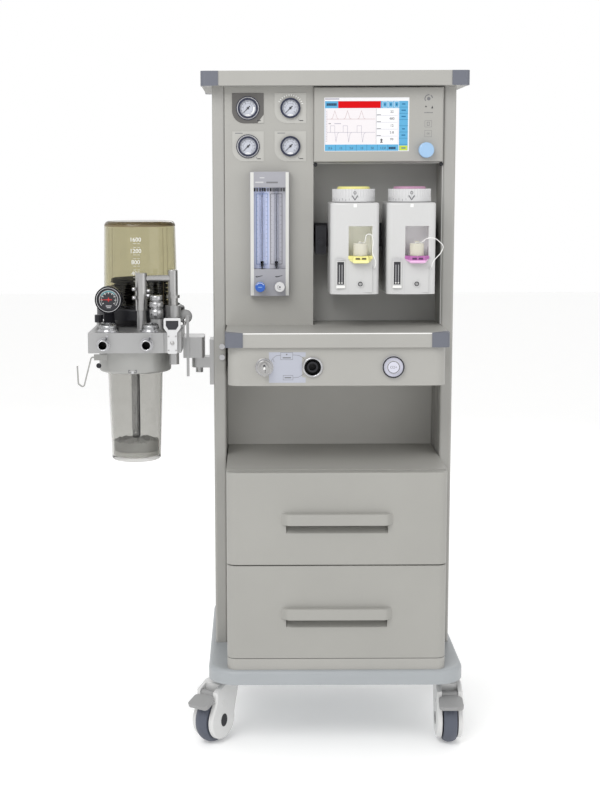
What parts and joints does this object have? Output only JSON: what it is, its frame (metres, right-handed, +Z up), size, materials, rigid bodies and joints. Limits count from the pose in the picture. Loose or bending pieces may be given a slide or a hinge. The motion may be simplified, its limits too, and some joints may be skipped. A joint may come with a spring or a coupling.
{
  "type": "anesthesia machine",
  "caption": "Wheeled veterinary anesthesia machine with drawers, worktop, gauges, flowmeter, vaporizers, monitor, and a swivelling circle breathing system with bellows and canister.",
  "frame": {"origin": "centre of the overall box's bottom face, on the floor", "axes": "+Z up, front faces -Y, +X to the right of someone facing the front"},
  "size_m": [0.8174, 0.551, 1.4],
  "materials": {
    "base_paint": "satin cool grey paint",
    "column_metal": "painted extrusion, satin",
    "cabinet_paint": "satin warm grey paint",
    "bay_paint": "satin mid grey paint",
    "cover_plastic": "moulded light grey with blue-grey corner caps",
    "front_plastic": "moulded light grey, satin",
    "tray_metal": "satin",
    "fork_plastic": "moulded off-white",
    "tyre_rubber": "smooth dark grey tyre on a grey hub",
    "pedal_plastic": "moulded grey",
    "fittings_chrome": "polished",
    "knob_silver": "satin",
    "button_plastic": "moulded white",
    "black_plastic": "moulded black",
    "needle_paint": "matt",
    "flow_housing": "grey housing with clear tubes",
    "float_metal": "black anodised",
    "knob_blue": "moulded blue",
    "knob_white": "moulded white",
    "vaporizer_metal": "smooth off-white enamel",
    "dial_plastic": "white ribbed dial with coloured cap",
    "filler_plastic": "moulded cream",
    "tether_plastic": "thin white cord",
    "monitor_plastic": "moulded light grey",
    "screen_glass": "lit display under a clear window",
    "encoder_plastic": "moulded light blue",
    "bracket_metal": "satin",
    "arm_metal": "machined, satin",
    "manifold_metal": "machined, satin",
    "tube_steel": "satin",
    "head_plastic": "moulded grey",
    "canister_clear": "clear polycarbonate",
    "dome_amber": "clear amber polysulfone",
    "bellows_rubber": "matt black"
  },
  "bodies": {
    "trolley": {"base_plate": "base_paint", "side_columns": "column_metal", "drawer_housing": "cabinet_paint", "worktop": "cover_plastic", "control_housing": "cabinet_paint", "panel_fittings": "fittings_chrome", "upper_cabinet": "bay_paint", "gauge_panel": "cabinet_paint", "gauge_cases": "black_plastic", "flowmeter_block": "flow_housing", "back_bar": "black_plastic", "vaporizer_bodies": "vaporizer_metal", "cap_tethers": "tether_plastic", "monitor_housing": "monitor_plastic", "monitor_screen": "screen_glass", "top_lid": "cover_plastic", "rear_cover": "cabinet_paint", "column_bracket": "bracket_metal"},
    "absorber": {"swivel_arm": "arm_metal", "manifold_block": "manifold_metal", "canister_head": "head_plastic", "transfer_tube": "tube_steel", "manometer_case": "black_plastic", "bellows_base": "black_plastic", "bellows": "bellows_rubber"},
    "fork_front_left": {"caster_fork_front_left": "fork_plastic"},
    "wheel_front_left": {"caster_wheel_front_left": "tyre_rubber"},
    "pedal_front_left": {"brake_pedal_front_left": "pedal_plastic"},
    "fork_front_right": {"caster_fork_front_right": "fork_plastic"},
    "wheel_front_right": {"caster_wheel_front_right": "tyre_rubber"},
    "pedal_front_right": {"brake_pedal_front_right": "pedal_plastic"},
    "fork_rear_left": {"caster_fork_rear_left": "fork_plastic"},
    "wheel_rear_left": {"caster_wheel_rear_left": "tyre_rubber"},
    "fork_rear_right": {"caster_fork_rear_right": "fork_plastic"},
    "wheel_rear_right": {"caster_wheel_rear_right": "tyre_rubber"},
    "upper_drawer": {"upper_drawer_front": "front_plastic", "upper_drawer_tray": "tray_metal"},
    "lower_drawer": {"lower_drawer_front": "front_plastic", "lower_drawer_tray": "tray_metal"},
    "flow_knob_left": {"flow_knob_left": "knob_blue"},
    "flow_float_left": {"flow_float_left": "float_metal"},
    "flow_knob_right": {"flow_knob_right": "knob_white"},
    "flow_float_right": {"flow_float_right": "float_metal"},
    "gauge_needle_upper_left": {"gauge_needle_upper_left": "needle_paint"},
    "gauge_needle_upper_right": {"gauge_needle_upper_right": "needle_paint"},
    "gauge_needle_lower_left": {"gauge_needle_lower_left": "needle_paint"},
    "gauge_needle_lower_right": {"gauge_needle_lower_right": "needle_paint"},
    "vaporizer_dial_left": {"vaporizer_dial_left": "dial_plastic"},
    "filler_cap_left": {"filler_cap_left": "filler_plastic"},
    "vaporizer_dial_right": {"vaporizer_dial_right": "dial_plastic"},
    "filler_cap_right": {"filler_cap_right": "filler_plastic"},
    "selector": {"selector_knob": "knob_silver"},
    "flush": {"flush_button": "button_plastic"},
    "encoder": {"encoder_knob": "encoder_plastic"},
    "canister": {"canister": "canister_clear"},
    "dome": {"bellows_dome": "dome_amber"},
    "bellows_disc": {"bellows_disc": "black_plastic"},
    "apl": {"apl_knob": "knob_white"},
    "bag_lever": {"bag_lever": "button_plastic"},
    "manometer_needle": {"manometer_needle": "needle_paint"}
  },
  "joints": [
    {"name": "upper_drawer_slide", "type": "slide", "parent": "trolley", "child": "upper_drawer", "axis": [0, -1, 0], "range_m": [0, 0.25]},
    {"name": "lower_drawer_slide", "type": "slide", "parent": "trolley", "child": "lower_drawer", "axis": [0, -1, 0], "range_m": [0, 0.25]},
    {"name": "arm_swivel", "type": "hinge", "parent": "trolley", "child": "absorber", "pos_m": [-0.15575, -0.0395, 0.82], "axis": [0, 0, 1], "range_deg": [-25, 15]},
    {"name": "dome_lift", "type": "slide", "parent": "absorber", "child": "dome", "axis": [0, 0, 1], "range_m": [0, 0.2]},
    {"name": "bellows_rise", "type": "slide", "parent": "absorber", "child": "bellows_disc", "axis": [0, 0, 1], "range_m": [0, 0.105], "deforming": ["bellows"]},
    {"name": "bag_lever_tilt", "type": "hinge", "parent": "absorber", "child": "bag_lever", "pos_m": [-0.20525, -0.1905, 0.847], "axis": [0, 1, 0], "range_deg": [0, 50]},
    {"name": "canister_twist", "type": "hinge", "parent": "absorber", "child": "canister", "pos_m": [-0.28975, -0.0945, 0.78], "axis": [0, 0, 1], "range_deg": [0, 60]},
    {"name": "vaporizer_dial_turn_left", "type": "hinge", "parent": "trolley", "child": "vaporizer_dial_left", "pos_m": [0.17075, -0.1045, 1.14], "axis": [0, 0, 1], "range_deg": [0, 280]},
    {"name": "vaporizer_dial_turn_right", "type": "hinge", "parent": "trolley", "child": "vaporizer_dial_right", "pos_m": [0.28725, -0.1045, 1.14], "axis": [0, 0, 1], "range_deg": [0, 280]},
    {"name": "filler_cap_turn_left", "type": "hinge", "parent": "trolley", "child": "filler_cap_left", "pos_m": [0.18225, -0.1525, 1.035], "axis": [0, 0, 1], "range_deg": [0, 360]},
    {"name": "filler_cap_turn_right", "type": "hinge", "parent": "trolley", "child": "filler_cap_right", "pos_m": [0.29875, -0.1525, 1.035], "axis": [0, 0, 1], "range_deg": [0, 360]},
    {"name": "apl_turn", "type": "hinge", "parent": "absorber", "child": "apl", "pos_m": [-0.24275, -0.1085, 0.9], "axis": [0, 0, 1], "range_deg": [0, 270]},
    {"name": "manometer_needle_turn", "type": "hinge", "parent": "absorber", "child": "manometer_needle", "pos_m": [-0.34245, -0.1155, 0.93], "axis": [0, 1, 0], "range_deg": [0, 300]},
    {"name": "selector_turn", "type": "hinge", "parent": "trolley", "child": "selector", "pos_m": [-0.01675, -0.2395, 0.8015], "axis": [0, 1, 0], "range_deg": [0, 90]},
    {"name": "flush_press", "type": "slide", "parent": "trolley", "child": "flush", "axis": [0, 1, 0], "range_m": [0, 0.005], "stiffness_N_per_m": 600, "springref_m": -0.002},
    {"name": "encoder_turn", "type": "hinge", "parent": "trolley", "child": "encoder", "pos_m": [0.32225, -0.0905, 1.238], "axis": [0, -1, 0], "continuous": true},
    {"name": "brake_front_left", "type": "hinge", "parent": "fork_front_left", "child": "pedal_front_left", "pos_m": [-0.13513, -0.22218, 0.108], "axis": [0.8192, -0.5736, 0], "range_deg": [-22, 0]},
    {"name": "brake_front_right", "type": "hinge", "parent": "fork_front_right", "child": "pedal_front_right", "pos_m": [0.37125, -0.2305, 0.108], "axis": [1, 0, 0], "range_deg": [-22, 0]},
    {"name": "swivel_front_left", "type": "hinge", "parent": "trolley", "child": "fork_front_left", "pos_m": [-0.10875, -0.1845, 0.12], "axis": [0, 0, 1], "continuous": true},
    {"name": "roll_front_left", "type": "hinge", "parent": "fork_front_left", "child": "wheel_front_left", "pos_m": [-0.12596, -0.20907, 0.05], "axis": [0.8192, -0.5736, 0], "continuous": true},
    {"name": "swivel_front_right", "type": "hinge", "parent": "trolley", "child": "fork_front_right", "pos_m": [0.37125, -0.1845, 0.12], "axis": [0, 0, 1], "continuous": true},
    {"name": "roll_front_right", "type": "hinge", "parent": "fork_front_right", "child": "wheel_front_right", "pos_m": [0.37125, -0.2145, 0.05], "axis": [1, 0, 0], "continuous": true},
    {"name": "swivel_rear_left", "type": "hinge", "parent": "trolley", "child": "fork_rear_left", "pos_m": [-0.10875, 0.1875, 0.12], "axis": [0, 0, 1], "continuous": true},
    {"name": "roll_rear_left", "type": "hinge", "parent": "fork_rear_left", "child": "wheel_rear_left", "pos_m": [-0.10875, 0.2175, 0.05], "axis": [-1, 0, 0], "continuous": true},
    {"name": "swivel_rear_right", "type": "hinge", "parent": "trolley", "child": "fork_rear_right", "pos_m": [0.37125, 0.1875, 0.12], "axis": [0, 0, 1], "continuous": true},
    {"name": "roll_rear_right", "type": "hinge", "parent": "fork_rear_right", "child": "wheel_rear_right", "pos_m": [0.37125, 0.2175, 0.05], "axis": [-1, 0, 0], "continuous": true},
    {"name": "flow_knob_turn_left", "type": "hinge", "parent": "trolley", "child": "flow_knob_left", "pos_m": [-0.02425, -0.1095, 0.9555], "axis": [0, -1, 0], "range_deg": [0, 720]},
    {"name": "flow_float_rise_left", "type": "slide", "parent": "trolley", "child": "flow_float_left", "axis": [0, 0, 1], "range_m": [0, 0.14]},
    {"name": "flow_knob_turn_right", "type": "hinge", "parent": "trolley", "child": "flow_knob_right", "pos_m": [0.01675, -0.1095, 0.9555], "axis": [0, -1, 0], "range_deg": [0, 720]},
    {"name": "flow_float_rise_right", "type": "slide", "parent": "trolley", "child": "flow_float_right", "axis": [0, 0, 1], "range_m": [0, 0.14]},
    {"name": "gauge_needle_upper_left_turn", "type": "hinge", "parent": "trolley", "child": "gauge_needle_upper_left", "pos_m": [-0.04875, -0.0775, 1.3255], "axis": [0, 1, 0], "range_deg": [0, 270]},
    {"name": "gauge_needle_upper_right_turn", "type": "hinge", "parent": "trolley", "child": "gauge_needle_upper_right", "pos_m": [0.03975, -0.0775, 1.3255], "axis": [0, 1, 0], "range_deg": [0, 270]},
    {"name": "gauge_needle_lower_left_turn", "type": "hinge", "parent": "trolley", "child": "gauge_needle_lower_left", "pos_m": [-0.04875, -0.0775, 1.247], "axis": [0, 1, 0], "range_deg": [0, 270]},
    {"name": "gauge_needle_lower_right_turn", "type": "hinge", "parent": "trolley", "child": "gauge_needle_lower_right", "pos_m": [0.03975, -0.0775, 1.247], "axis": [0, 1, 0], "range_deg": [0, 270]}
  ]
}
